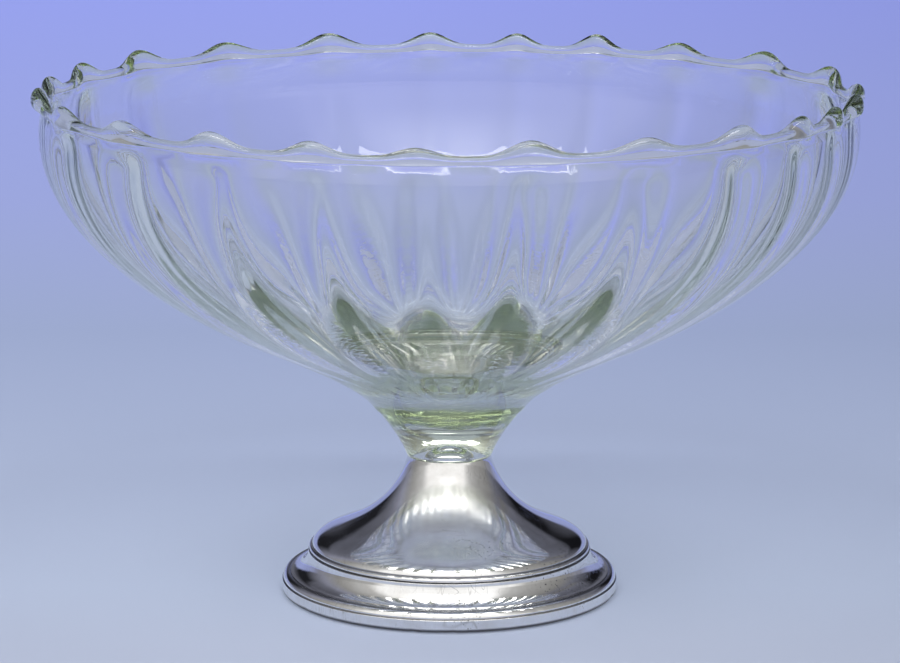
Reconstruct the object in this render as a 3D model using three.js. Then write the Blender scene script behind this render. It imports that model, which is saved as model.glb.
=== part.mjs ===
// Ribbed glass bowl on a weighted silver foot.
// Millimetres and degrees, +Z up, origin on the table under the middle of the foot.
// Azimuth 0 is the front of the bowl, towards -Y, and grows towards +X.
import * as THREE from 'three';

// Seats: the space left between two pieces that touch
const SEAT_GAP = 0.3;

// Felt pad and closing plate
const FELT_THICKNESS = 1.0;
const PLATE_THICKNESS = 0.8;

// Silver foot, from the edge band up to the collar
const SHEET = 0.6;
const LIP_WIDTH = 2.6;
const BAND_RADIUS = 52.7;
const BAND_TOP = 4.2;
const GROOVE_WIDTH = 0.3;
const GROOVE_HEIGHT = 0.4;
const BEAD_WIDTH = 2.1;
const BEAD_HEIGHT = 2.0;
const COVE_WIDTH = 5.9;
const COVE_HEIGHT = 6.7;
const LIP_BEAD_RADIUS = 0.75;
const LIP_BEAD_INSET = 0.95;
const LIP_BEAD_RISE = 0.85;
const LIP_BEAD_START = 115;
const LIP_BEAD_END = -70;
const DOME_EDGE_INSET = 0.25;
const DOME_EDGE_RISE = 0.95;
const DOME_EDGE_SLOPE = 72;
const DOME_EDGE_PULL = 2.0;
const DOME_HEIGHT = 8.6;
const DOME_MID_RADIUS = 28.4;
const DOME_MID_SLOPE = 29.3;
const DOME_MID_PULL = 7.0;
const NECK_HEIGHT = 19.7;
const NECK_LOW_PULL = 12.7;
const NECK_TOP_SLOPE = 80.4;
const NECK_TOP_PULL = 3.75;
const COLLAR_RADIUS = 13.1;

// Glass peg, with a blind bore that ends in a dome inside the stem, and the cement round it
const PEG_LENGTH = 15.0;
const PEG_CHAMFER = 1.0;
const BORE_RADIUS = 5.2;
const BORE_DOME = 7.5;
const CEMENT_WALL = 1.7;
const CEMENT_RECESS = 1.0;
const CEMENT_FLOOR = 3.0;

// Glass stem, from the collar up to its sharp upper edge
const STEM_OVERHANG = 0.3;
const STEM_FOOT_SLOPE = 76.8;
const STEM_FOOT_PULL = 3.7;
const STEM_HEIGHT = 15.2;
const STEM_TOP_RADIUS = 23.6;
const STEM_TOP_SLOPE = 34.3;
const STEM_TOP_PULL = 2.9;

// Outside of the bowl: the underside rises to the belly, the wall from the belly to the rim
const UNDERSIDE_SLOPE = 57.1;
const UNDERSIDE_PULL = 5.6;
const UNDERSIDE_HEIGHT = 21.9;
const BELLY_RADIUS = 60.5;
const BELLY_SLOPE = 24.2;
const BELLY_PULL_IN = 27.4;
const BELLY_PULL_OUT = 39.4;
const WALL_HEIGHT = 73.2;
const WALL_TOP_RADIUS = 125.0;
const WALL_TOP_SLOPE = 101.8;
const WALL_TOP_PULL = 32.0;

// Inside of the bowl
const FLOOR_THICKNESS = 17.1;
const FLOOR_PULL = 24.0;
const FLOOR_BELLY_PULL = 22.0;
const WALL_AT_BELLY = 3.8;
const WALL_AT_RIM = 2.3;
const WALL_FADE = 0.55;

// Ribs on the inside: they fade out between two shares of the way up the wall and end below the rim
const RIB_COUNT = 24;
const RIB_TURN = -7.7;
const RIB_START_RADIUS = 11.0;
const RIB_FULL_RADIUS = 50.0;
const RIB_AT_BELLY = 3.25;
const RIB_AT_RIM = 0.9;
const RIB_HOLD = 0.12;
const RIB_FADE = 0.62;
const RIB_END = 0.93;
const RIB_WIDTH = 9.0;
const RIB_SHARE = 0.44;

// Rim: a fire-polished bead that swells to a leaning crest over each rib
const RIM_BEAD_INSET = 1.4;
const RIM_BEAD_RISE = 1.6;
const RIM_BEAD_HALF_WIDTH = 1.5;
const RIM_BEAD_HALF_HEIGHT = 1.4;
const RIM_BEAD_SEAT = 45;
const CREST_LEAN = 1.6;
const CREST_RISE = 1.5;
const CREST_HALF_WIDTH = 2.5;
const CREST_HALF_HEIGHT = 3.9;
const CREST_SHARPNESS = 2.6;

// The ribs and crests are tooled by hand, so their strength varies by a share, in a wave that turns by a step
// of so many degrees from one rib to the next, and the front one is weaker than the rest
const RIB_UNEVEN = 0.12;
const RIB_UNEVEN_STEP = 137.5;
const FRONT_RIB = 0.6;

// For the same reason they wander sideways in slow waves round the bowl
const RIB_WANDER = [
  { waves: 1, swing: 4.5, phase: 126 },
  { waves: 2, swing: 1.6, phase: 74 },
  { waves: 3, swing: 1.65, phase: -16 },
  { waves: 4, swing: 2.2, phase: -144 },
];

// Fineness of the facets
const COLUMNS_PER_RIB = 6;
const COLUMN_CROWDING = 0.75;
const FOOT_SEGMENTS = 36;
const FOOT_STEPS_OUTSIDE = 4;
const FOOT_STEPS_INSIDE = 3;
const FLOOR_STEPS = 3;
const WALL_STEPS_INSIDE = 5;
const RIM_STEPS = 7;
const WALL_STEPS_OUTSIDE = 6;
const UNDERSIDE_STEPS = 3;
const STEM_STEPS = 2;
const BORE_STEPS = 3;

const { degToRad, lerp, smoothstep } = THREE.MathUtils;

// A point of a profile: distance from the axis and height
function at(radius, height) {
  return new THREE.Vector2(radius, height);
}

// A point that lies some distance from another along a slope given in degrees
function beyond(point, slope, distance) {
  const angle = degToRad(slope);
  return at(point.x + Math.cos(angle) * distance, point.y + Math.sin(angle) * distance);
}

// Points along a curve, moved sideways by an inset to the right of its direction
function along(curve, steps, inset) {
  return Array.from({ length: steps + 1 }, (_, i) => {
    const point = curve.getPoint(i / steps);
    const tangent = curve.getTangent(i / steps);
    return at(point.x + tangent.y * inset, point.y - tangent.x * inset);
  });
}

// The stretch of a falling profile between two heights, with both ends cut exactly at them
function betweenHeights(points, top, bottom) {
  const kept = [];
  for (let i = 0; i + 1 < points.length; i += 1) {
    const upper = points[i];
    const lower = points[i + 1];
    for (const height of [top, bottom]) {
      if (upper.y > height && lower.y <= height) {
        kept.push(upper.clone().lerp(lower, (upper.y - height) / (upper.y - lower.y)));
      }
    }
    if (lower.y < top && lower.y > bottom) {
      kept.push(lower);
    }
  }
  return kept;
}

// A solid of revolution from a profile that runs down its outside
function turned(profile) {
  const geometry = new THREE.LatheGeometry(profile.toReversed(), FOOT_SEGMENTS);
  geometry.rotateX(Math.PI / 2);
  return geometry;
}

// A turned disc between two heights
function disc(radius, top, bottom) {
  return turned([at(0, top), at(radius, top), at(radius, bottom), at(0, bottom)]);
}

const bowl = new THREE.Group();

function addPart(name, geometry, look) {
  const mesh = new THREE.Mesh(geometry, new THREE.MeshStandardMaterial(look));
  mesh.name = name;
  bowl.add(mesh);
}

// Felt pad: the disc that the object stands on, inside the turned-under lip of the foot
const lipInnerRadius = BAND_RADIUS - LIP_WIDTH;
const feltGeometry = disc(lipInnerRadius - SEAT_GAP, FELT_THICKNESS, 0);
addPart('felt_pad', feltGeometry, { color: 0x3a4d40, roughness: 0.95, metalness: 0 });

// Closing plate: lies on the lip and closes the foot
const plateBottom = FELT_THICKNESS + SEAT_GAP;
const plateTop = plateBottom + PLATE_THICKNESS;
const bandInnerRadius = BAND_RADIUS - SHEET;
const plateGeometry = disc(bandInnerRadius - SEAT_GAP, plateTop, plateBottom);
addPart('base_plate', plateGeometry, { color: 0x8d8f91, roughness: 0.5, metalness: 1 });

// Stations of the silver foot, stacked up from the edge band
const beadBottom = BAND_TOP + GROOVE_HEIGHT;
const beadTop = beadBottom + BEAD_HEIGHT;
const beadInnerRadius = BAND_RADIUS - GROOVE_WIDTH - BEAD_WIDTH;
const coveTop = beadTop + COVE_HEIGHT;
const lipBead = at(beadInnerRadius - COVE_WIDTH - LIP_BEAD_INSET, coveTop + LIP_BEAD_RISE);
const domeEdge = at(lipBead.x - DOME_EDGE_INSET, lipBead.y + DOME_EDGE_RISE);
const domeMid = at(DOME_MID_RADIUS, domeEdge.y + DOME_HEIGHT);
const collarEdge = at(COLLAR_RADIUS, domeMid.y + NECK_HEIGHT);

// Curves of the silver foot, each running down and outwards
const neckCurve = new THREE.CubicBezierCurve(
  collarEdge,
  beyond(collarEdge, -NECK_TOP_SLOPE, NECK_TOP_PULL),
  beyond(domeMid, -DOME_MID_SLOPE, -NECK_LOW_PULL),
  domeMid,
);
const domeCurve = new THREE.CubicBezierCurve(
  domeMid,
  beyond(domeMid, -DOME_MID_SLOPE, DOME_MID_PULL),
  beyond(domeEdge, -DOME_EDGE_SLOPE, -DOME_EDGE_PULL),
  domeEdge,
);
const lipBeadCurve = new THREE.EllipseCurve(
  lipBead.x, lipBead.y, LIP_BEAD_RADIUS, LIP_BEAD_RADIUS,
  degToRad(LIP_BEAD_START), degToRad(LIP_BEAD_END), true,
);
const coveCurve = new THREE.EllipseCurve(
  beadInnerRadius, coveTop, COVE_WIDTH, COVE_HEIGHT, Math.PI, Math.PI * 1.5, false,
);
const beadCurve = new THREE.EllipseCurve(
  beadInnerRadius, beadBottom, BEAD_WIDTH, BEAD_HEIGHT, Math.PI / 2, 0, true,
);

// The foot's profile at some depth below its outer face, from the collar to the top of the edge band.
// The lip bead shows on the outer face only: under it the sheet runs straight from the dome to the cove.
function footProfile(inset, steps) {
  const cove = along(coveCurve, steps, inset);
  return [
    ...along(neckCurve, steps + 1, inset),
    ...along(domeCurve, steps, inset).slice(1),
    ...(inset > 0 ? cove.slice(1) : [...along(lipBeadCurve, steps, 0), ...cove]),
    ...along(beadCurve, steps - 1, inset).slice(1),
    at(BAND_RADIUS - inset, BAND_TOP),
  ];
}

// Silver foot: spun sheet with an open collar, turned under at the edge
const lipBottom = FELT_THICKNESS - SHEET;
const footLoop = [
  ...footProfile(0, FOOT_STEPS_OUTSIDE),
  at(BAND_RADIUS, lipBottom),
  at(lipInnerRadius, lipBottom),
  at(lipInnerRadius, FELT_THICKNESS),
  at(bandInnerRadius, FELT_THICKNESS),
  ...footProfile(SHEET, FOOT_STEPS_INSIDE).toReversed(),
  collarEdge,
];
addPart('foot_shell', turned(footLoop), { color: 0xd6d6d8, roughness: 0.12, metalness: 1 });

// Cement: fills the collar round and under the peg, against the inside of the neck
const stemFoot = collarEdge.y + SEAT_GAP;
const pegRadius = COLLAR_RADIUS - SHEET - CEMENT_WALL - 2 * SEAT_GAP;
const pegBottom = stemFoot - PEG_LENGTH;
const socketRadius = pegRadius + SEAT_GAP;
const socketBottom = pegBottom - SEAT_GAP;
const cementTop = collarEdge.y - CEMENT_RECESS;
const cementBottom = socketBottom - CEMENT_FLOOR;
const fillOutside = [
  ...footProfile(SHEET + SEAT_GAP, FOOT_STEPS_INSIDE),
  at(bandInnerRadius - SEAT_GAP, plateTop),
];
const cementProfile = [
  at(0, socketBottom),
  at(socketRadius, socketBottom),
  at(socketRadius, cementTop),
  ...betweenHeights(fillOutside, cementTop, cementBottom),
  at(0, cementBottom),
];
addPart('peg_cement', turned(cementProfile), { color: 0xd9cfac, roughness: 0.9, metalness: 0 });

// Filling: the weight that is poured into the foot under the cement
const fillingTop = cementBottom - SEAT_GAP;
const fillingBottom = plateTop + SEAT_GAP;
const fillingProfile = [
  at(0, fillingTop),
  ...betweenHeights(fillOutside, fillingTop, fillingBottom),
  at(0, fillingBottom),
];
addPart('foot_filling', turned(fillingProfile), { color: 0x77706a, roughness: 0.95, metalness: 0 });

// Stations of the glass, stacked up from the collar
const stemEnd = at(COLLAR_RADIUS + STEM_OVERHANG, stemFoot);
const stemTop = at(STEM_TOP_RADIUS, stemFoot + STEM_HEIGHT);
const belly = at(BELLY_RADIUS, stemTop.y + UNDERSIDE_HEIGHT);
const wallTop = at(WALL_TOP_RADIUS, belly.y + WALL_HEIGHT);
const rimBead = at(wallTop.x - RIM_BEAD_INSET, wallTop.y + RIM_BEAD_RISE);
const rimCrest = at(rimBead.x + CREST_LEAN, rimBead.y + CREST_RISE);
const floorMiddle = at(0, stemTop.y + FLOOR_THICKNESS);
const innerBelly = beyond(belly, BELLY_SLOPE + 90, WALL_AT_BELLY);

// Curves of the glass: stem, underside and wall run up the outside, the floor runs out to the belly
const stemCurve = new THREE.CubicBezierCurve(
  stemEnd,
  beyond(stemEnd, STEM_FOOT_SLOPE, STEM_FOOT_PULL),
  beyond(stemTop, STEM_TOP_SLOPE, -STEM_TOP_PULL),
  stemTop,
);
const undersideCurve = new THREE.CubicBezierCurve(
  stemTop,
  beyond(stemTop, UNDERSIDE_SLOPE, UNDERSIDE_PULL),
  beyond(belly, BELLY_SLOPE, -BELLY_PULL_IN),
  belly,
);
const wallCurve = new THREE.CubicBezierCurve(
  belly,
  beyond(belly, BELLY_SLOPE, BELLY_PULL_OUT),
  beyond(wallTop, WALL_TOP_SLOPE, -WALL_TOP_PULL),
  wallTop,
);
const floorCurve = new THREE.CubicBezierCurve(
  floorMiddle,
  at(FLOOR_PULL, floorMiddle.y),
  beyond(innerBelly, BELLY_SLOPE, -FLOOR_BELLY_PULL),
  innerBelly,
);

// A row of the glass gives the point of its section at a column.
// Inside, each rib thickens the wall, as a bell over the distance from the middle of the rib.
const ribPitch = (Math.PI * 2) / RIB_COUNT;

function ribbedRow(curve, t, wall, rib) {
  const tangent = curve.getTangent(t);
  const inward = at(-tangent.y, tangent.x);
  const point = curve.getPoint(t).addScaledVector(inward, wall);
  const halfWidth = Math.min(RIB_WIDTH, RIB_SHARE * ribPitch * point.x) / 2;
  return (column) => {
    const bell = 0.5 ** ((point.x * column.offset / halfWidth) ** 2);
    return point.clone().addScaledVector(inward, rib * column.strength * bell);
  };
}

function floorRow(t) {
  const reach = floorCurve.getPoint(t).x;
  return ribbedRow(floorCurve, t, 0, RIB_AT_BELLY * smoothstep(reach, RIB_START_RADIUS, RIB_FULL_RADIUS));
}

function innerWallRow(t) {
  const wall = lerp(WALL_AT_BELLY, WALL_AT_RIM, smoothstep(t, 0, WALL_FADE));
  const rib = lerp(RIB_AT_BELLY, RIB_AT_RIM, smoothstep(t, RIB_HOLD, RIB_FADE));
  return ribbedRow(wallCurve, t, wall, rib * (1 - smoothstep(t, RIB_END, 1)));
}

// The rim: an ellipse that grows and leans out from the bead to the crest
function rimRow(angle) {
  return ({ crest }) => {
    const middle = rimBead.clone().lerp(rimCrest, crest);
    const halfWidth = lerp(RIM_BEAD_HALF_WIDTH, CREST_HALF_WIDTH, crest);
    const halfHeight = lerp(RIM_BEAD_HALF_HEIGHT, CREST_HALF_HEIGHT, crest);
    return at(middle.x - halfWidth * Math.cos(angle), middle.y + halfHeight * Math.sin(angle));
  };
}

// Outside and on the peg a row is the same all round
function plainRow(point) {
  return () => point;
}

// Rows at even steps from one value to another, both ends included
function rows(steps, from, to, makeRow) {
  return Array.from({ length: steps + 1 }, (_, i) => makeRow(lerp(from, to, i / steps)));
}

// The whole section, from the middle of the floor over the rim to the end of the peg and up its bore
const boreTop = stemFoot + BORE_DOME;
const boreCurve = new THREE.EllipseCurve(0, stemFoot, BORE_RADIUS, BORE_DOME, 0, Math.PI / 2, false);
const rimSeat = degToRad(RIM_BEAD_SEAT);
const glassRows = [
  ...rows(FLOOR_STEPS, 0, 1, floorRow).slice(1),
  ...rows(WALL_STEPS_INSIDE, 0, 1, innerWallRow).slice(1),
  ...rows(RIM_STEPS, -rimSeat, Math.PI + rimSeat, rimRow),
  ...rows(WALL_STEPS_OUTSIDE, 1, 0, (t) => plainRow(wallCurve.getPoint(t))),
  ...rows(UNDERSIDE_STEPS, 1, 0, (t) => plainRow(undersideCurve.getPoint(t))).slice(1),
  ...rows(STEM_STEPS, 1, 0, (t) => plainRow(stemCurve.getPoint(t))).slice(1),
  plainRow(at(pegRadius, stemFoot)),
  plainRow(at(pegRadius, pegBottom + PEG_CHAMFER)),
  plainRow(at(pegRadius - PEG_CHAMFER, pegBottom)),
  plainRow(at(BORE_RADIUS, pegBottom)),
  ...along(boreCurve, BORE_STEPS, 0).slice(0, -1).map(plainRow),
];

// How far the ribs wander at a turn round the bowl
function ribWander(turn) {
  return RIB_WANDER.reduce(
    (sum, { waves, swing, phase }) => sum + swing * Math.sin(waves * turn + degToRad(phase)),
    RIB_TURN,
  );
}

function ribStrength(index) {
  return index === 0 ? FRONT_RIB : 1 + RIB_UNEVEN * Math.sin(degToRad(RIB_UNEVEN_STEP * index));
}

// Columns follow the ribs: one runs along the middle of each rib and crest, and the next ones crowd beside it
const columnCount = RIB_COUNT * COLUMNS_PER_RIB;
const glassColumns = Array.from({ length: columnCount }, (_, i) => {
  const evenTurn = (i / columnCount) * Math.PI * 2;
  const turn = evenTurn - (COLUMN_CROWDING / RIB_COUNT) * Math.sin(RIB_COUNT * evenTurn);
  const nearest = Math.round(turn / ribPitch);
  const strength = ribStrength(nearest % RIB_COUNT);
  const wave = (1 + Math.cos(RIB_COUNT * turn)) / 2;
  return {
    azimuth: turn + degToRad(ribWander(turn)),
    offset: turn - nearest * ribPitch,
    strength,
    crest: strength * wave ** CREST_SHARPNESS,
  };
});

function glassPoint(row, column) {
  const spot = row(column);
  return [spot.x * Math.sin(column.azimuth), -spot.x * Math.cos(column.azimuth), spot.y];
}

// A closed skin of rings, each joined to the next, with a pole on the axis at either end
function skin(firstPole, rings, lastPole) {
  const count = rings[0].length;
  const positions = [...rings.flat(), firstPole, lastPole].flat();
  const first = rings.length * count;
  const last = first + 1;
  const lastRing = first - count;
  const triangles = [];
  for (let j = 0; j < count; j += 1) {
    const k = (j + 1) % count;
    triangles.push(first, j, k);
    for (let base = 0; base < lastRing; base += count) {
      const next = base + count;
      triangles.push(base + j, next + j, next + k);
      triangles.push(base + j, next + k, base + k);
    }
    triangles.push(lastRing + j, last, lastRing + k);
  }
  const geometry = new THREE.BufferGeometry();
  geometry.setAttribute('position', new THREE.Float32BufferAttribute(positions, 3));
  geometry.setIndex(triangles);
  geometry.computeVertexNormals();
  return geometry;
}

// Glass bowl with its stem and peg, one piece of glass
const glassRings = glassRows.map((row) => glassColumns.map((column) => glassPoint(row, column)));
const glassGeometry = skin([0, 0, floorMiddle.y], glassRings, [0, 0, boreTop]);
addPart('glass_bowl', glassGeometry, { color: 0xdfe7df, roughness: 0.03, metalness: 0 });

export default bowl;
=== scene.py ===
import bpy
import numpy as np
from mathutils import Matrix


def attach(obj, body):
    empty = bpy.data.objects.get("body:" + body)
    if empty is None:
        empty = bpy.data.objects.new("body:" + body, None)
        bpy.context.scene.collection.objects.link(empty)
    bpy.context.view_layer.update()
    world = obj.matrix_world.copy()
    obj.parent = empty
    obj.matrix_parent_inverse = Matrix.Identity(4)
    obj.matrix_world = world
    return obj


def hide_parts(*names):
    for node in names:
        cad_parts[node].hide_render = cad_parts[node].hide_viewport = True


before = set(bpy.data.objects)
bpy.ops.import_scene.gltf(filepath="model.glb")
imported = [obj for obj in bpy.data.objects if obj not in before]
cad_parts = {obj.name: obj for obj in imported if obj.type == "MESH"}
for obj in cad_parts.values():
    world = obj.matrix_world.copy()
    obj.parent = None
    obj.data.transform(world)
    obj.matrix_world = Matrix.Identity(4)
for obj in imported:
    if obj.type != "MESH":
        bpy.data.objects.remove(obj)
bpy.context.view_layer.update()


# Felt pad: a disc of green baize, cut from sheet and glued under the closing plate.
# The object stands on it, so only a thin dark line of it shows at the table.
felt_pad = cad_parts["felt_pad"]


def node_maker(tree):
    """A maker of nodes in a tree, which takes settings and inputs by name, with _ for a space in an input's name."""

    def node(kind, **settings):
        made = tree.nodes.new("ShaderNode" + kind)
        for key, value in settings.items():
            if hasattr(made, key):
                setattr(made, key, value)
            else:
                made.inputs[key.replace("_", " ")].default_value = value
        return made

    return node


def new_material(name):
    """A new material, its one Principled shader, and a maker and a linker of nodes for its tree."""
    material = bpy.data.materials.new(name)
    material.use_nodes = True
    tree = material.node_tree
    return material, tree.nodes["Principled BSDF"], node_maker(tree), tree.links.new


def object_noise(node, link, scale, detail, roughness=0.55):
    """Noise on the piece's own coordinates in metres, scaled to a number of grains per metre."""
    place = node("TexCoord")
    noise = node("TexNoise", Scale=scale, Detail=detail, Roughness=roughness)
    link(place.outputs["Object"], noise.inputs["Vector"])
    return noise.outputs["Fac"]


def ramped(node, link, value, stops):
    """A colour that follows a value through its stops, which are pairs of place and colour."""
    ramp = node("ValToRGB")
    tones = ramp.color_ramp.elements
    for tone, (position, colour) in ((tones[0], stops[0]), (tones[1], stops[-1])):
        tone.position, tone.color = position, (*colour, 1.0)
    for position, colour in stops[1:-1]:
        tones.new(position).color = (*colour, 1.0)
    link(value, ramp.inputs["Fac"])
    return ramp.outputs["Color"]


def carried(node, link, value, start, end, low=0.0, high=1.0, way="LINEAR"):
    """A value carried over from the range start to end to the range low to high, and held at its ends."""
    reach = node("MapRange", interpolation_type=way, From_Min=start, From_Max=end, To_Min=low, To_Max=high)
    link(value, reach.inputs["Value"])
    return reach.outputs["Result"]


def bumped(node, link, shader, height, distance):
    """Relief on a shader: the height factor stands for up to the distance in metres."""
    bump = node("Bump", Strength=1.0, Distance=distance)
    link(height, bump.inputs["Height"])
    link(bump.outputs["Normal"], shader.inputs["Normal"])


def grained(name, grains, detail, shades, roughness, relief, breakup=0.55):
    """A material whose colour, roughness and relief all follow one noise of so many grains per metre.

    The shades are the colour's stops over the noise, the roughness is a range and the relief a height in metres."""
    material, shader, node, link = new_material(name)
    grain = object_noise(node, link, grains, detail, breakup)
    link(ramped(node, link, grain, shades), shader.inputs["Base Color"])
    link(carried(node, link, grain, 0.0, 1.0, *roughness), shader.inputs["Roughness"])
    bumped(node, link, shader, grain, relief)
    return material, shader


def dress(piece, material):
    """Gives a piece its one material."""
    piece.data.materials.clear()
    piece.data.materials.append(material)


baize, shader = grained("green baize", grains=2600.0, detail=6.0, roughness=(0.85, 1.0), relief=0.0002,
                        shades=((0.3, (0.02, 0.045, 0.028)), (0.75, (0.06, 0.12, 0.075))))
shader.inputs["Sheen Weight"].default_value = 0.4
dress(felt_pad, baize)


# Closing plate: a disc of tinned sheet steel that lies on the turned-under lip and shuts the foot.
# Nothing of it shows while the bowl stands.
base_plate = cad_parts["base_plate"]
tinned, shader = grained("dull tinned sheet", grains=180.0, detail=2.0, roughness=(0.35, 0.6), relief=0.0001,
                         shades=((0.35, (0.36, 0.37, 0.38)), (0.7, (0.55, 0.56, 0.57))))
shader.inputs["Metallic"].default_value = 1.0
dress(base_plate, tinned)


# Filling: the weighting compound, poured hot into the spun foot to steady the tall bowl.
# It sets against the inside of the silver and is closed in by the plate.
foot_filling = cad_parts["foot_filling"]
compound, _ = grained("weighting compound", grains=900.0, detail=5.0, roughness=(0.8, 1.0), relief=0.0004,
                      shades=((0.3, (0.1, 0.09, 0.08)), (0.7, (0.2, 0.185, 0.165))))
dress(foot_filling, compound)


# Cement: cream plaster that holds the glass peg in the collar of the foot.
# It shows through the glass stem as a warm disc.
peg_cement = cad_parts["peg_cement"]
plaster, _ = grained("cream plaster", grains=700.0, detail=6.0, breakup=0.65, roughness=(0.75, 0.95),
                     relief=0.0003, shades=((0.3, (0.76, 0.74, 0.67)), (0.7, (0.9, 0.88, 0.82))))
dress(peg_cement, plaster)


# Silver foot: one disc of sheet silver spun over a chuck into a collar, a hollow neck, a dome, a cove and a bead,
# with its edge turned under. It is polished, and long use has left dents, fine scratches and a little tarnish.
SHEET = 0.0006
COLLAR, COLLAR_SLOPE, COLLAR_PULL = (0.0131, 0.0434), -80.4, 0.00375
DOME_MID, DOME_SLOPE = (0.0284, 0.0237), -29.3
NECK_PULL, DOME_PULL = 0.0127, 0.0080
DOME_EDGE, EDGE_SLOPE, EDGE_PULL = (0.0432, 0.0151), -82.0, 0.0034
INNER_DOME_INSET = 0.0003
INNER_EDGE_SLOPE, INNER_EDGE_PULL, INNER_DOME_PULL = 108.0, 0.0020, 0.007
LIP_BEAD_MIDDLE, LIP_BEAD_RADIUS = (0.04345, 0.01415), 0.00075
COVE_MIDDLE, COVE_REACH = (0.0503, 0.0133), (0.0059, 0.0067)
COVE_GROOVE = ((0.05015, 0.00661), (0.05035, 0.00636), (0.05058, 0.00657))
BEAD_MIDDLE, BEAD_REACH = (0.0503, 0.0046), (0.0021, 0.0020)
BAND_GROOVE = (0.0521, 0.0044)
BAND_RADIUS, BAND_TOP, BAND_FOOT, BAND_BEVEL = 0.0527, 0.0042, 0.0010, 0.0005
LIP_RADIUS, LIP_BOTTOM = 0.0501, 0.0004
FOOT_COLUMNS = 264
# the plain upper part has coarser rows than the edges beyond this distance from the axis
PLAIN_RADIUS, PLAIN_STEP, EDGE_STEP = 0.036, 0.0004, 0.00015
EDGE_ROUNDING = 0.00010
SHARP_CORNER = 50.0
# dents: azimuth in degrees, distance from the axis, height, depth and breadth
DENTS = ((-12.3, 0.0527, 0.0004, 0.00040, 0.0011), (-2.2, 0.0527, 0.0004, 0.00035, 0.0009),
         (0.9, 0.0527, 0.0004, 0.00045, 0.0012), (-0.3, 0.0505, 0.0064, 0.00030, 0.0010),
         (-58.0, 0.0527, 0.0020, 0.00025, 0.0016), (31.0, 0.0523, 0.0048, 0.00018, 0.0012),
         (74.0, 0.0527, 0.0004, 0.00040, 0.0015), (152.0, 0.0527, 0.0006, 0.00045, 0.0020),
         (-131.0, 0.0515, 0.0058, 0.00030, 0.0018))
DENT_AIM = 0.010
# heights of the grooves that hold dark residue, its breadth there, and the heights between which painted shade darkens
# the lower edge
LIP_GROOVES, LIP_RESIDUE = (0.0151, 0.01345), 0.00035
BEAD_GROOVES, BEAD_RESIDUE = (0.0065, 0.0043), 0.0002
PAINTED_EDGE_SHADE = (0.0016, 0.0011)
# the dull patch on the dome: its fade at the neck and at the edge by height, and to the sides by distance
DULL_NECK, DULL_EDGE, DULL_SIDES = (0.044, 0.034), (0.0165, 0.0185), (0.018, 0.008)
DULL_LEAST, DULL_MOST = 0.03, 0.19
TARNISHED, POLISHED, MARK_AND_SHADE_DARK = (0.74, 0.72, 0.69), (0.93, 0.925, 0.915), (0.06, 0.06, 0.07)
TARNISH_EDGES, TARNISH_HAZE = (0.3, 0.62), (0.05, 0.01)
PIT_GRAINS, PIT_SIZE, PIT_PATCHES = 950.0, (0.24, 0.12), (0.56, 0.64)
SCRATCH_PATCHES = (-1.6, 1.9)
SCRATCH_WEIGHT, RESIDUE_AND_SHADE_WEIGHT, MARK_HAZE = 0.5, 0.9, 0.3
WAVER_RELIEF = 0.00008


def flowing(start, start_slope, start_pull, end, end_slope, end_pull, steps):
    """Points of a cubic curve from start to end, which leaves and arrives along slopes in degrees.

    The two inner control points lie a pull ahead of the start and a pull behind the end, and each
    point is the four control points weighted by the Bernstein terms of the way along."""
    t = np.linspace(0.0, 1.0, steps + 1)[:, None]
    start, end = np.array(start), np.array(end)
    leave = np.array([np.cos(np.radians(start_slope)), np.sin(np.radians(start_slope))])
    arrive = np.array([np.cos(np.radians(end_slope)), np.sin(np.radians(end_slope))])
    ahead, behind = start + leave * start_pull, end - arrive * end_pull
    return (1 - t) ** 3 * start + 3 * t * (1 - t) ** 2 * ahead + 3 * t**2 * (1 - t) * behind + t**3 * end


def elliptic(middle, reach, first, last, steps):
    """Points on an ellipse about a middle, from one angle to another in degrees."""
    angle = np.radians(np.linspace(first, last, steps + 1))
    return np.column_stack([middle[0] + reach[0] * np.cos(angle), middle[1] + reach[1] * np.sin(angle)])


def even_steps(profile, step):
    """A profile walked again in equal steps along its length."""
    length = np.concatenate([[0.0], np.cumsum(np.hypot(*np.diff(profile, axis=0).T))])
    place = np.linspace(0.0, length[-1], int(length[-1] / step) + 1)
    return np.column_stack([np.interp(place, length, profile[:, 0]), np.interp(place, length, profile[:, 1])])


def softened(profile, step, rounding):
    """A profile with its corners rounded: each point becomes the bell-weighted mean of its neighbours."""
    reach = int(np.ceil(3 * rounding / step))
    offsets = np.arange(-reach, reach + 1) * step
    weights = np.exp(-0.5 * (offsets / rounding) ** 2)
    weights /= weights.sum()
    # the ends are mirrored through themselves, so that they stay in place
    ahead = 2 * profile[0] - profile[reach:0:-1]
    behind = 2 * profile[-1] - profile[-2 : -reach - 2 : -1]
    padded = np.vstack([ahead, profile, behind])
    return np.column_stack([np.convolve(padded[:, k], weights, mode="valid") for k in (0, 1)])


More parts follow.
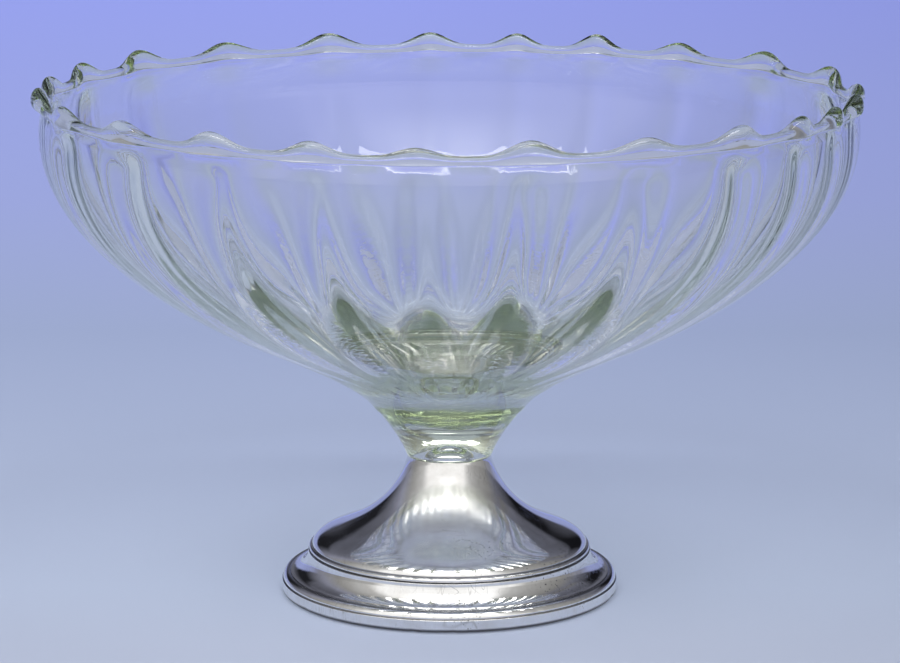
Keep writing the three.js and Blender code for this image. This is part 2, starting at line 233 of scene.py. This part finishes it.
def closed_skin(name, grid, poles=None):
    """A mesh of quads over a grid of points, rows by columns, that is closed round its columns.

    Without poles the last row is joined to the first, as on a ring. With poles, two points on the axis, the
    first and the last row are each closed by a fan of triangles."""
    rows, columns = grid.shape[:2]
    points = grid.reshape(-1, 3)
    row_ends = rows if poles is None else rows - 1
    i, j = np.meshgrid(np.arange(row_ends), np.arange(columns), indexing="ij")
    below, beside = (i + 1) % rows, (j + 1) % columns
    quads = np.stack([i * columns + j, below * columns + j, below * columns + beside, i * columns + beside], -1)
    corners = quads.reshape(-1)
    sizes = np.full(quads.size // 4, 4)
    if poles is not None:
        around = np.arange(columns)
        beside = (around + 1) % columns
        last = (rows - 1) * columns
        first_fan = np.column_stack([np.full(columns, len(points)), around, beside])
        last_fan = np.column_stack([last + around, np.full(columns, len(points) + 1), last + beside])
        points = np.vstack([points, poles])
        corners = np.concatenate([corners, first_fan.reshape(-1), last_fan.reshape(-1)])
        sizes = np.concatenate([sizes, np.full(2 * columns, 3)])
    mesh = bpy.data.meshes.new(name)
    mesh.vertices.add(len(points))
    mesh.vertices.foreach_set("co", points.astype(np.float32).reshape(-1))
    mesh.loops.add(len(corners))
    mesh.loops.foreach_set("vertex_index", corners.astype(np.int32))
    mesh.polygons.add(len(sizes))
    mesh.polygons.foreach_set("loop_start", np.concatenate([[0], np.cumsum(sizes)[:-1]]).astype(np.int32))
    mesh.update(calc_edges=True)
    mesh.validate()
    mesh.shade_smooth()
    piece = bpy.data.objects.new(name, mesh)
    bpy.context.scene.collection.objects.link(piece)
    return piece


def revolved(profile, columns):
    """A profile of distances from the axis and heights, carried round the axis in equal turns."""
    azimuth = np.arange(columns) * 2 * np.pi / columns
    radius, height = profile[:, :1], profile[:, 1:]
    return np.stack([radius * np.sin(azimuth), -radius * np.cos(azimuth), height + 0 * azimuth], -1)


foot_outside = np.vstack([
    flowing(COLLAR, COLLAR_SLOPE, COLLAR_PULL, DOME_MID, DOME_SLOPE, NECK_PULL, steps=160),
    flowing(DOME_MID, DOME_SLOPE, DOME_PULL, DOME_EDGE, EDGE_SLOPE, EDGE_PULL, steps=120)[1:],
    elliptic(LIP_BEAD_MIDDLE, (LIP_BEAD_RADIUS, LIP_BEAD_RADIUS), first=115.0, last=-70.0, steps=24),
    elliptic(COVE_MIDDLE, COVE_REACH, first=180.0, last=268.0, steps=60),
    COVE_GROOVE,
    elliptic(BEAD_MIDDLE, BEAD_REACH, first=80.0, last=0.0, steps=40),
    [BAND_GROOVE, (BAND_RADIUS, BAND_TOP), (BAND_RADIUS, BAND_FOOT), (BAND_RADIUS - BAND_BEVEL, LIP_BOTTOM)],
    [(LIP_RADIUS, LIP_BOTTOM)],
])
plain_end = int(np.argmax(foot_outside[:, 0] > PLAIN_RADIUS))
foot_edges = softened(even_steps(foot_outside[plain_end:], EDGE_STEP), EDGE_STEP, EDGE_ROUNDING)
foot_outside = np.vstack([even_steps(foot_outside[: plain_end + 1], PLAIN_STEP)[:-1], foot_edges])
inner_edge = (DOME_EDGE[0] - SHEET, DOME_EDGE[1])
inner_dome = (DOME_MID[0] - INNER_DOME_INSET, DOME_MID[1] - SHEET)
inner_collar = (COLLAR[0] - SHEET, COLLAR[1])
back_up_dome, back_up_neck = 180.0 + DOME_SLOPE, 180.0 + COLLAR_SLOPE
foot_inside = np.vstack([
    [(LIP_RADIUS, LIP_BOTTOM + SHEET), (BAND_RADIUS - SHEET, LIP_BOTTOM + SHEET), (BAND_RADIUS - SHEET, BAND_TOP)],
    elliptic(BEAD_MIDDLE, np.array(BEAD_REACH) - SHEET, first=10.0, last=90.0, steps=8),
    elliptic(COVE_MIDDLE, np.array(COVE_REACH) + SHEET, first=262.0, last=190.0, steps=8),
    flowing(inner_edge, INNER_EDGE_SLOPE, INNER_EDGE_PULL, inner_dome, back_up_dome, INNER_DOME_PULL, steps=10),
    flowing(inner_dome, back_up_dome, NECK_PULL, inner_collar, back_up_neck, COLLAR_PULL, steps=12)[1:],
])
foot_points = revolved(np.vstack([foot_outside, foot_inside]), FOOT_COLUMNS)


def dented(points, azimuth, radius, height, depth, breadth):
    """Points pushed towards the inside of the foot by a depth that fades as a bell with the distance from the dent."""
    turn = np.radians(azimuth)
    dent = np.array([radius * np.sin(turn), -radius * np.cos(turn), height])
    push = np.array([0.0, 0.0, DENT_AIM]) - dent
    push /= np.linalg.norm(push)
    away = np.linalg.norm(points - dent, axis=-1, keepdims=True)
    return points + push * depth * np.exp(-((away / breadth) ** 2))


for dent in DENTS:
    foot_points = dented(foot_points, *dent)
foot_shell = closed_skin("silver_foot", foot_points)
foot_shell.data.set_sharp_from_angle(angle=np.radians(SHARP_CORNER))


def combined(node, link, operation, *values):
    """One step of arithmetic on values that are each a socket or a number."""
    made = node("Math", operation=operation)
    for socket, value in zip(made.inputs, values):
        if isinstance(value, float):
            socket.default_value = value
        else:
            link(value, socket)
    return made.outputs["Value"]


def lines_at(node, link, value, places, breadth):
    """1 where a value meets one of the places, fading to 0 a breadth away from each."""
    strongest = None
    for place in places:
        away = combined(node, link, "ABSOLUTE", combined(node, link, "SUBTRACT", value, place))
        near = carried(node, link, away, breadth, 0.0)
        strongest = near if strongest is None else combined(node, link, "MAXIMUM", strongest, near)
    return strongest


def fine_lines(node, link, scale, stretch, turn, breadth):
    """Thin lines: 1 where a stretched and turned noise crosses its middle value, 0 away from there."""
    place = node("TexCoord")
    mapping = node("Mapping", Rotation=turn, Scale=stretch)
    noise = node("TexNoise", Scale=scale, Detail=1.0)
    link(place.outputs["Object"], mapping.inputs["Vector"])
    link(mapping.outputs["Vector"], noise.inputs["Vector"])
    return lines_at(node, link, noise.outputs["Fac"], (0.5,), breadth)


def mixed(node, link, factor, plain, other):
    """A colour that goes over to another one, a socket or three numbers, with a factor."""
    mix = node("Mix", data_type="RGBA")
    link(factor, mix.inputs["Factor"])
    link(plain, mix.inputs["A"])
    if isinstance(other, tuple):
        mix.inputs["B"].default_value = (*other, 1.0)
    else:
        link(other, mix.inputs["B"])
    return mix.outputs["Result"]


silver, shader, node, link = new_material("polished silver")
place = node("TexCoord").outputs["Object"]
split = node("SeparateXYZ")
link(place, split.inputs["Vector"])
across, level = combined(node, link, "ABSOLUTE", split.outputs["X"]), split.outputs["Z"]
tarnish = object_noise(node, link, scale=60.0, detail=8.0, roughness=0.7)
worn = ramped(node, link, tarnish, tuple(zip(TARNISH_EDGES, (TARNISHED, POLISHED))))
# small pits that lie in patches
grains = node("TexVoronoi", Scale=PIT_GRAINS)
link(place, grains.inputs["Vector"])
pit = carried(node, link, grains.outputs["Distance"], *PIT_SIZE)
pitted = carried(node, link, object_noise(node, link, scale=38.0, detail=3.0), *PIT_PATCHES)
pits = combined(node, link, "MULTIPLY", pit, pitted)
# scratches in two directions, which come and go
scratches = combined(
    node, link, "MAXIMUM",
    fine_lines(node, link, scale=40.0, stretch=(14.0, 1.0, 2.0), turn=(0.2, 0.1, 0.5), breadth=0.012),
    fine_lines(node, link, scale=46.0, stretch=(1.0, 11.0, 2.0), turn=(0.4, 0.0, -0.3), breadth=0.010),
)
scratched = carried(node, link, object_noise(node, link, scale=70.0, detail=2.0), 0.0, 1.0, *SCRATCH_PATCHES)
scratches = combined(node, link, "MULTIPLY", scratches, scratched)
marks = combined(node, link, "MAXIMUM", pits, combined(node, link, "MULTIPLY", scratches, SCRATCH_WEIGHT))
# dark residue in the grooves, and painted shade along the lower edge where the foot meets the table
residue_and_edge_shade = combined(node, link, "MAXIMUM", lines_at(node, link, level, LIP_GROOVES, LIP_RESIDUE),
                   lines_at(node, link, level, BEAD_GROOVES, BEAD_RESIDUE))
residue_and_edge_shade = combined(node, link, "MAXIMUM", residue_and_edge_shade, carried(node, link, level, *PAINTED_EDGE_SHADE))
marks = combined(node, link, "MAXIMUM", marks, combined(node, link, "MULTIPLY", residue_and_edge_shade, RESIDUE_AND_SHADE_WEIGHT))
# the pits, scratches and groove residue take the dark colour, and so does the painted shade at the lower edge
link(mixed(node, link, marks, worn, MARK_AND_SHADE_DARK), shader.inputs["Base Color"])
shader.inputs["Metallic"].default_value = 1.0
# haze: from tarnish, from the marks, and from the dull patch at the front and back of the dome
dulled = combined(node, link, "MULTIPLY", marks, MARK_HAZE)
dome_haze = combined(node, link, "MULTIPLY", carried(node, link, level, *DULL_NECK, way="SMOOTHSTEP"),
                     carried(node, link, level, *DULL_EDGE))
dome_haze = combined(node, link, "MULTIPLY", dome_haze,
                     carried(node, link, across, *DULL_SIDES, DULL_LEAST, DULL_MOST, way="SMOOTHSTEP"))
haze = combined(node, link, "ADD", carried(node, link, tarnish, 0.0, 1.0, *TARNISH_HAZE), dome_haze)
link(combined(node, link, "ADD", haze, dulled), shader.inputs["Roughness"])
waver = combined(node, link, "SUBTRACT", object_noise(node, link, scale=85.0, detail=2.0), dulled)
bumped(node, link, shader, waver, WAVER_RELIEF)
dress(foot_shell, silver)
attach(foot_shell, "root")
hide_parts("foot_shell")


# Glass bowl: one piece of clear, faintly green glass, blown into a ribbed mould and opened out by hand, with its rim
# fire-polished into a bead that swells to a crest over each rib. Its solid stem ends in a peg cemented into the collar.
STEM_END, STEM_END_SLOPE, STEM_END_PULL = (0.0134, 0.0437), 76.8, 0.0037
STEM_TOP, STEM_TOP_SLOPE, STEM_TOP_PULL = (0.0236, 0.0589), 34.3, 0.0029
UNDER_SLOPE, UNDER_PULL, UNDER_END_PULL = 57.1, 0.0056, 0.0274
BELLY, BELLY_SLOPE = (0.0605, 0.0808), 24.2
WALL_TOP, WALL_TOP_SLOPE = (0.1250, 0.1540), 101.8
WALL_PULL, WALL_TOP_PULL = 0.0394, 0.032
FLOOR_HEIGHT, FLOOR_PULL, FLOOR_END_PULL = 0.0760, 0.024, 0.022
PEG_RADIUS, PEG_BOTTOM, PEG_BEVEL = 0.0102, 0.0287, 0.001
BORE_RADIUS, BORE_DOME = 0.0052, 0.0075
WALL_AT_BELLY, WALL_AT_RIM, WALL_FADE = 0.0038, 0.0023, 0.55
RIB_COUNT, COLUMNS_PER_RIB, COLUMN_CROWDING = 24, 20, 0.75
# the ribs wander from their even places: a turn of all, and swings given as waves round, degrees and phase
RIB_TURN = -7.7
RIB_WANDER = ((1, 4.5, 126.0), (2, 1.6, 74.0), (3, 1.65, -16.0), (4, 2.2, -144.0))
# where a rib begins and is full on the floor, and its height at the belly, at the rim and more at the two sides
RIB_START, RIB_FULL = 0.011, 0.050
RIB_AT_BELLY, RIB_AT_RIM = 0.00325, 0.0009
SIDE_RIB, SIDE_START, SIDE_FULL = 0.0010, 0.53, 0.69
# shares of the way up the wall where a rib starts to thin out, is thin, and starts to end
RIB_HOLD, RIB_FADE, RIB_END = 0.12, 0.62, 0.93
RIB_WIDTH, RIB_SHARE = 0.0090, 0.44
RIB_UNEVEN, RIB_UNEVEN_STEP, FRONT_RIB = 0.12, 137.5, 0.6
SHOULDER_ROWS = 5
BEAD_SEAT = 45.0
BEAD_PLACE, BEAD_SIZE = (0.1236, 0.1556), (0.0015, 0.0014)
CREST_PLACE, CREST_SIZE = (0.1252, 0.1576), (0.0025, 0.0034)
CREST_SHARPNESS = 1.9
# where the chill marks are full and end: on the floor by distance from the axis, on the ribs by share of the wall
FLOOR_CHILL, RIB_CHILL = (0.030, 0.058), (0.2, 0.5)
CHILL_WAVES, CHILL_RELIEF = 320.0, 0.00035
GLASS_TINT, TINT_DENSITY, GLASS_INDEX = (0.715, 0.775, 0.61, 1.0), 20.0, 1.52


def smooth_rise(value, low, high):
    """0 below low, 1 above high, and the smooth cubic between."""
    share = np.clip((value - low) / (high - low), 0.0, 1.0)
    return share * share * (3 - 2 * share)


def inward_of(profile):
    """The unit direction to the left of a profile's run at each of its points."""
    run = np.gradient(profile, axis=0)
    run /= np.hypot(run[:, 0], run[:, 1])[:, None]
    return np.column_stack([-run[:, 1], run[:, 0]])


turn_in = np.radians(BELLY_SLOPE)
inner_belly = (BELLY[0] - WALL_AT_BELLY * np.sin(turn_in), BELLY[1] + WALL_AT_BELLY * np.cos(turn_in))
wall = flowing(BELLY, BELLY_SLOPE, WALL_PULL, WALL_TOP, WALL_TOP_SLOPE, WALL_TOP_PULL, steps=40)
way_in = inward_of(wall)
along = np.linspace(0.0, 1.0, len(wall))
thickness = WALL_AT_BELLY + (WALL_AT_RIM - WALL_AT_BELLY) * smooth_rise(along, 0.0, WALL_FADE)
inner_wall = wall + way_in * thickness[:, None]
floor = flowing((0.0, FLOOR_HEIGHT), 0.0, FLOOR_PULL, inner_belly, BELLY_SLOPE, FLOOR_END_PULL, steps=34)[1:]
floor_rib = RIB_AT_BELLY * smooth_rise(floor[:, 0], RIB_START, RIB_FULL)
underside = flowing(STEM_TOP, UNDER_SLOPE, UNDER_PULL, BELLY, BELLY_SLOPE, UNDER_END_PULL, steps=24)
stem = flowing(STEM_END, STEM_END_SLOPE, STEM_END_PULL, STEM_TOP, STEM_TOP_SLOPE, STEM_TOP_PULL, steps=16)
peg = [(PEG_RADIUS, STEM_END[1]), (PEG_RADIUS, PEG_BOTTOM + PEG_BEVEL), (PEG_RADIUS - PEG_BEVEL, PEG_BOTTOM),
       (BORE_RADIUS, PEG_BOTTOM)]
bore = elliptic((0.0, STEM_END[1]), (BORE_RADIUS, BORE_DOME), first=0.0, last=90.0, steps=8)[:-1]
outside = np.vstack([wall[::-1], underside[-2::-1], stem[-2::-1], peg, bore])

# round the bowl, the columns crowd together at each rib and wander with the ribs
share = np.arange(COLUMNS_PER_RIB) / COLUMNS_PER_RIB
share = share - COLUMN_CROWDING * np.sin(2 * np.pi * share) / (2 * np.pi)
pitch = 2 * np.pi / RIB_COUNT
turn = ((np.arange(RIB_COUNT)[:, None] + share) * pitch).reshape(-1)
from_rib = np.tile((share + 0.5) % 1.0 - 0.5, RIB_COUNT) * pitch
drift = RIB_TURN + sum(swing * np.sin(waves * turn + np.radians(phase)) for waves, swing, phase in RIB_WANDER)
azimuth = turn + np.radians(drift)
strength_of_rib = 1 + RIB_UNEVEN * np.sin(np.radians(RIB_UNEVEN_STEP * np.arange(RIB_COUNT)))
strength_of_rib[0] = FRONT_RIB
strength = strength_of_rib[np.round(turn / pitch).astype(int) % RIB_COUNT]
crest = strength * ((1 + np.cos(RIB_COUNT * turn)) / 2) ** CREST_SHARPNESS
# the ribs thin out up the wall, those at the two sides less than those at the front and back
at_rim = RIB_AT_RIM + SIDE_RIB * smooth_rise(np.abs(np.sin(azimuth)), SIDE_START, SIDE_FULL)
inner_rib = RIB_AT_BELLY + (at_rim - RIB_AT_BELLY) * smooth_rise(along, RIB_HOLD, RIB_FADE)[:, None]
inner_rib *= 1 - smooth_rise(along, RIB_END, 1.0)[:, None]


def rib_bell(profile):
    """How far each column of each row is up a rib: a bell of the distance along the circle from the rib's middle.

    The bell has one width, but never more than a share of the space from rib to rib."""
    width = np.minimum(RIB_WIDTH, RIB_SHARE * pitch * profile[:, :1])
    return strength * 0.5 ** ((2 * profile[:, :1] * from_rib / width) ** 2)


def ribbed(profile, inward, swell):
    """Rows of the inside: each point of a profile moved along its way in by the swell of the ribs there."""
    return profile[:, :1] + inward[:, :1] * swell, profile[:, 1:] + inward[:, 1:] * swell


def rim_bead(steps):
    """Rows of the rim: an ellipse from its seat on the inner wall over the top to its seat on the outer wall.

    Its middle and its two half-widths go from the bead's to the crest's with the crest factor of the column."""
    angle = np.radians(np.linspace(-BEAD_SEAT, 180.0 + BEAD_SEAT, steps + 1))[:, None]
    middle_r, middle_z, half_r, half_z = (
        low + (high - low) * crest for low, high in zip(BEAD_PLACE + BEAD_SIZE, CREST_PLACE + CREST_SIZE)
    )
    return middle_r - half_r * np.cos(angle), middle_z + half_z * np.sin(angle)


def plain(profile):
    """Rows of the outside, the same all round."""
    return profile[:, :1] + 0 * turn, profile[:, 1:] + 0 * turn


floor_bell = rib_bell(floor)
inner_bell = rib_bell(inner_wall)
floor_rows = ribbed(floor, inward_of(floor), floor_bell * floor_rib[:, None])
inner_rows = ribbed(inner_wall[1:], way_in[1:], (inner_bell * inner_rib)[1:])
bead_rows = rim_bead(steps=34)
# a straight shoulder leads from the end of each rib up to the seat of the bead
way = np.linspace(0.0, 1.0, SHOULDER_ROWS + 2)[1:-1, None]
shoulder_rows = tuple(inner[-1] + (bead[0] - inner[-1]) * way for inner, bead in zip(inner_rows, bead_rows))
stretches = (floor_rows, inner_rows, shoulder_rows, bead_rows, plain(outside))
radius, height = (np.vstack(rows) for rows in zip(*stretches))
glass_points = np.stack([radius * np.sin(azimuth), -radius * np.cos(azimuth), height], -1)
poles = [(0.0, 0.0, FLOOR_HEIGHT), (0.0, 0.0, STEM_END[1] + BORE_DOME)]
glass_bowl = closed_skin("ribbed_glass", glass_points, poles)

# chill marks: the floor and the low parts of the ribs are wavy where the hot glass met the mould
chill = np.zeros_like(radius)
chill[: len(floor)] = np.maximum(floor_bell, 1 - smooth_rise(floor[:, :1], *FLOOR_CHILL))
rib_chill = inner_bell * (1 - smooth_rise(along, *RIB_CHILL))[:, None]
chill[len(floor) : len(floor) + len(inner_wall) - 1] = rib_chill[1:]
chill_marks = glass_bowl.data.attributes.new("chill", "FLOAT", "POINT")
chill_at_poles = (1.0, 0.0)
chill_marks.data.foreach_set("value", np.append(chill.reshape(-1), chill_at_poles).astype(np.float32))

clear_glass, shader, node, link = new_material("clear glass")
shader.inputs["Transmission Weight"].default_value = 1.0
shader.inputs["IOR"].default_value = GLASS_INDEX
shader.inputs["Roughness"].default_value = 0.0
shader.inputs["Base Color"].default_value = (1.0, 1.0, 1.0, 1.0)
waves = object_noise(node, link, scale=CHILL_WAVES, detail=2.0)
chilled = node("Attribute", attribute_name="chill")
bumped(node, link, shader, combined(node, link, "MULTIPLY", waves, chilled.outputs["Fac"]), CHILL_RELIEF)
tint = node("VolumeAbsorption", Color=GLASS_TINT, Density=TINT_DENSITY)
output = clear_glass.node_tree.nodes["Material Output"]
link(tint.outputs["Volume"], output.inputs["Volume"])
dress(glass_bowl, clear_glass)
# the peg's faces, which are bedded in the cement, look like the plaster
glass_bowl.data.materials.append(plaster)
face_middles = np.empty(3 * len(glass_bowl.data.polygons))
glass_bowl.data.polygons.foreach_get("center", face_middles)
on_peg = face_middles[2::3] < STEM_END[1] - 1e-5
glass_bowl.data.polygons.foreach_set("material_index", on_peg.astype(np.int32))
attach(glass_bowl, "root")
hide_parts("glass_bowl")


# Stage: a plain pale paper floor that turns from grey to lavender towards the back, in a studio of soft gradients.
# A broad softbox and a long narrow lamp hang above the front, and the camera stands at the photograph's angle.
FLOOR_SIZE, FLOOR_NEAR, FLOOR_FAR = 12.0, -0.4, 1.6
FLOOR_TONES = ((0.0, (0.62, 0.64, 0.65)), (0.16, (0.43, 0.475, 0.60)), (0.2, (0.43, 0.49, 0.635)),
               (0.4, (0.325, 0.385, 0.58)), (0.57, (0.325, 0.375, 0.69)), (1.0, (0.325, 0.375, 0.86)))
FLOOR_GLOW = 0.25
# the floor is lighter in a painted pool of light round the foot, which lightens the glass bowl's shadow, and darker to
# the right with painted shade
PAINTED_LIGHT_MIDDLE, PAINTED_LIGHT_REACH, PAINTED_LIGHT_GAIN = (0.0, 0.055, 0.0), (0.07, 0.19), 1.26
PAINTED_SHADE_REACH, PAINTED_SHADE_END = (-0.05, 0.35), 0.87
# the room's light over the sine of the height: where the walls, the high back and the ceiling take over
WALLS_RISE, HIGH_BACK_RISE, CEILING_RISE = (0.13, 0.20), (0.42, 0.50), (0.90, 0.97)
CEILING = (0.47, 0.51, 0.62)
WALL_SEAM = (-0.05, 0.05)
SWEEP_LOW, SWEEP_MID, SWEEP_HIGH = (0.37, 0.415, 0.6), (0.40, 0.44, 0.66), (0.38, 0.41, 0.56)
BACKDROP_FOOT = (0.30, 0.345, 0.62)
BOWL_MIDDLE = 0.1
SENSOR_WIDTH, LENS = 36.0, 145.45
CAMERA_PLACE, CAMERA_DIP = (0.0002, -1.10904, 0.31085), 11.634


def scaled(node, link, colour, factor):
    """A colour made lighter or darker by a factor."""
    made = node("VectorMath", operation="SCALE")
    link(colour, made.inputs[0])
    link(factor, made.inputs["Scale"])
    return made.outputs["Vector"]


def by_channel(node, link, operation, *colours):
    """One step of arithmetic on colours, channel by channel."""
    made = node("VectorMath", operation=operation)
    for socket, colour in zip(made.inputs, colours):
        link(colour, socket)
    return made.outputs["Vector"]


corner = FLOOR_SIZE / 2
paper_mesh = bpy.data.meshes.new("paper_floor")
paper_mesh.from_pydata([(-corner, -corner, 0), (corner, -corner, 0), (corner, corner, 0), (-corner, corner, 0)], [],
                       [(0, 1, 2, 3)])
paper_floor = bpy.data.objects.new("paper_floor", paper_mesh)
bpy.context.scene.collection.objects.link(paper_floor)
paper, shader, node, link = new_material("pale paper")
place = node("TexCoord").outputs["Object"]
split = node("SeparateXYZ")
link(place, split.inputs["Vector"])
depth = carried(node, link, split.outputs["Y"], FLOOR_NEAR, FLOOR_FAR)
# painted light: a pool of light round the foot over the bowl's shadow, and painted shade towards the right
from_painted_light = node("VectorMath", operation="DISTANCE")
link(place, from_painted_light.inputs[0])
from_painted_light.inputs[1].default_value = PAINTED_LIGHT_MIDDLE
painted_light_pool = carried(node, link, from_painted_light.outputs["Value"], *PAINTED_LIGHT_REACH, low=PAINTED_LIGHT_GAIN, high=1.0, way="SMOOTHSTEP")
painted_shade_to_right = carried(node, link, split.outputs["X"], *PAINTED_SHADE_REACH, low=1.0, high=PAINTED_SHADE_END)
painted_light_and_shade = combined(node, link, "MULTIPLY", painted_light_pool, painted_shade_to_right)
paper_with_painted_light = scaled(node, link, ramped(node, link, depth, FLOOR_TONES), painted_light_and_shade)
link(paper_with_painted_light, shader.inputs["Base Color"])
shader.inputs["Roughness"].default_value = 0.9
shader.inputs["Specular IOR Level"].default_value = 0.1
link(paper_with_painted_light, shader.inputs["Emission Color"])
# the paper glows a little where it is seen, but throws no light of its own on the object
rays = node("LightPath")
seen = combined(node, link, "MAXIMUM", rays.outputs["Is Camera Ray"], rays.outputs["Is Glossy Ray"])
seen = combined(node, link, "MAXIMUM", seen, rays.outputs["Is Transmission Ray"])
link(combined(node, link, "MULTIPLY", seen, FLOOR_GLOW), shader.inputs["Emission Strength"])
paper_floor.data.materials.append(paper)

world = bpy.data.worlds.new("studio")
bpy.context.scene.world = world
world.use_nodes = True
backdrop = world.node_tree.nodes["Background"]
node, link = node_maker(world.node_tree), world.node_tree.links.new
split = node("SeparateXYZ")
link(node("TexCoord").outputs["Generated"], split.inputs["Vector"])
up = split.outputs["Z"]
# from 0 at the camera's side to 1 at the back, the same at every height
level_part = combined(node, link, "SUBTRACT", 1.001, combined(node, link, "MULTIPLY", up, up))
outward = combined(node, link, "SQRT", level_part)
towards_back = combined(node, link, "DIVIDE", split.outputs["Y"], outward)
towards_back = combined(node, link, "MULTIPLY_ADD", towards_back, 0.5, 0.5)


def greys(*stops):
    """Stops of grey, given as pairs of place and brightness."""
    return [(place, (tone, tone, tone)) for place, tone in stops]


def lavenders(*stops):
    """Stops of lavender grey, given as pairs of place and brightness."""
    return [(place, (0.93 * tone, 0.97 * tone, 1.25 * tone)) for place, tone in stops]


def above(lower, upper, start, end):
    """The lower colour up to a height in the room, the upper colour from a second height on."""
    return mixed(node, link, carried(node, link, up, start, end, way="SMOOTHSTEP"), lower, upper)


left_wall = ramped(node, link, towards_back, (
    greys((0.0, 1.08), (0.22, 1.06), (0.27, 0.85), (0.33, 0.55), (0.46, 0.42), (0.59, 0.30))
    + lavenders((0.75, 0.27), (0.85, 0.15), (0.93, 0.015), (0.975, 0.015), (0.99, 0.08), (1.0, 0.22))))
right_wall = ramped(node, link, towards_back, (
    greys((0.0, 1.08), (0.10, 1.06), (0.15, 0.72), (0.20, 0.5), (0.33, 0.35), (0.59, 0.24))
    + lavenders((0.75, 0.15), (0.86, 0.08), (0.92, 0.008), (0.972, 0.008), (0.988, 0.08), (1.0, 0.22))))
high_back = ramped(node, link, towards_back, (
    greys((0.6, 0.0), (0.75, 0.16)) + lavenders((0.86, 0.15), (0.96, 0.10), (1.0, 0.15))))
backdrop_foot = ramped(node, link, towards_back, (
    greys((0.0, 1.0), (0.18, 1.0), (0.28, 0.45), (0.60, 0.27)) + lavenders((0.80, 0.25))
    + [(0.92, BACKDROP_FOOT), (1.0, BACKDROP_FOOT)]))
walls = mixed(node, link, carried(node, link, split.outputs["X"], *WALL_SEAM), left_wall, right_wall)
room = above(backdrop_foot, walls, *WALLS_RISE)
room = above(room, by_channel(node, link, "MAXIMUM", walls, high_back), *HIGH_BACK_RISE)
room = above(room, CEILING, *CEILING_RISE)
# the key light: its spread to the sides times its spread in height
key_spread = ramped(node, link, towards_back, greys((0.0, 1.0), (0.03, 0.8), (0.055, 0.55), (0.10, 0.3), (0.2, 0.0)))
key_height = ramped(node, link, up, greys(
    (0.45, 0.0), (0.63, 0.45), (0.81, 1.2), (0.906, 1.8), (0.955, 1.6), (0.975, 0.5), (0.99, 0.0)))
room = by_channel(node, link, "MULTIPLY_ADD", key_spread, key_height, room)
# what leaves the glass towards the back meets the paper sweep behind the bowl
sweep_spread = ramped(node, link, towards_back, greys((0.72, 0.0), (0.86, 1.0)))
sweep_tones = ramped(node, link, up, (
    (0.0, SWEEP_LOW), (0.5, SWEEP_LOW), (0.66, SWEEP_MID), (0.84, SWEEP_HIGH), (0.93, (0.0, 0.0, 0.0))))
sweep = by_channel(node, link, "MULTIPLY", sweep_spread, sweep_tones)
sweep = scaled(node, link, sweep, node("LightPath").outputs["Is Transmission Ray"])
link(by_channel(node, link, "MAXIMUM", room, sweep), backdrop.inputs["Color"])
backdrop.inputs["Strength"].default_value = 1.0


def lamp(name, width, depth, height, forward, energy):
    """A rectangular lamp in front of the bowl and above it, that looks at the bowl."""
    light = bpy.data.lights.new(name, "AREA")
    light.shape = "RECTANGLE"
    light.size, light.size_y = width, depth
    light.energy = energy
    made = bpy.data.objects.new(name, light)
    made.location = (0.0, -forward, height)
    made.rotation_euler = (np.arctan2(forward, height - BOWL_MIDDLE), 0.0, 0.0)
    made.visible_camera = False
    bpy.context.scene.collection.objects.link(made)
    return made


# the softbox isn't mirrored in the glass, where its outline would be too crisp
softbox = lamp("softbox", width=2.2, depth=0.9, height=2.72, forward=1.40, energy=4.0)
softbox.visible_glossy = softbox.visible_transmission = False
lamp("spark", width=3.2, depth=0.35, height=2.9, forward=0.85, energy=21.0)

camera_data = bpy.data.cameras.new("camera")
camera_data.sensor_width = SENSOR_WIDTH
camera_data.lens = LENS
camera = bpy.data.objects.new("camera", camera_data)
camera.location = CAMERA_PLACE
camera.rotation_euler = (np.radians(90.0 - CAMERA_DIP), 0.0, 0.0)
bpy.context.scene.collection.objects.link(camera)
bpy.context.scene.camera = camera
bpy.context.scene.view_settings.view_transform = "Standard"
# light is led along inside the glass, so it may turn many times
bpy.context.scene.cycles.max_bounces = 32
bpy.context.scene.cycles.glossy_bounces = 24
bpy.context.scene.cycles.transmission_bounces = 24
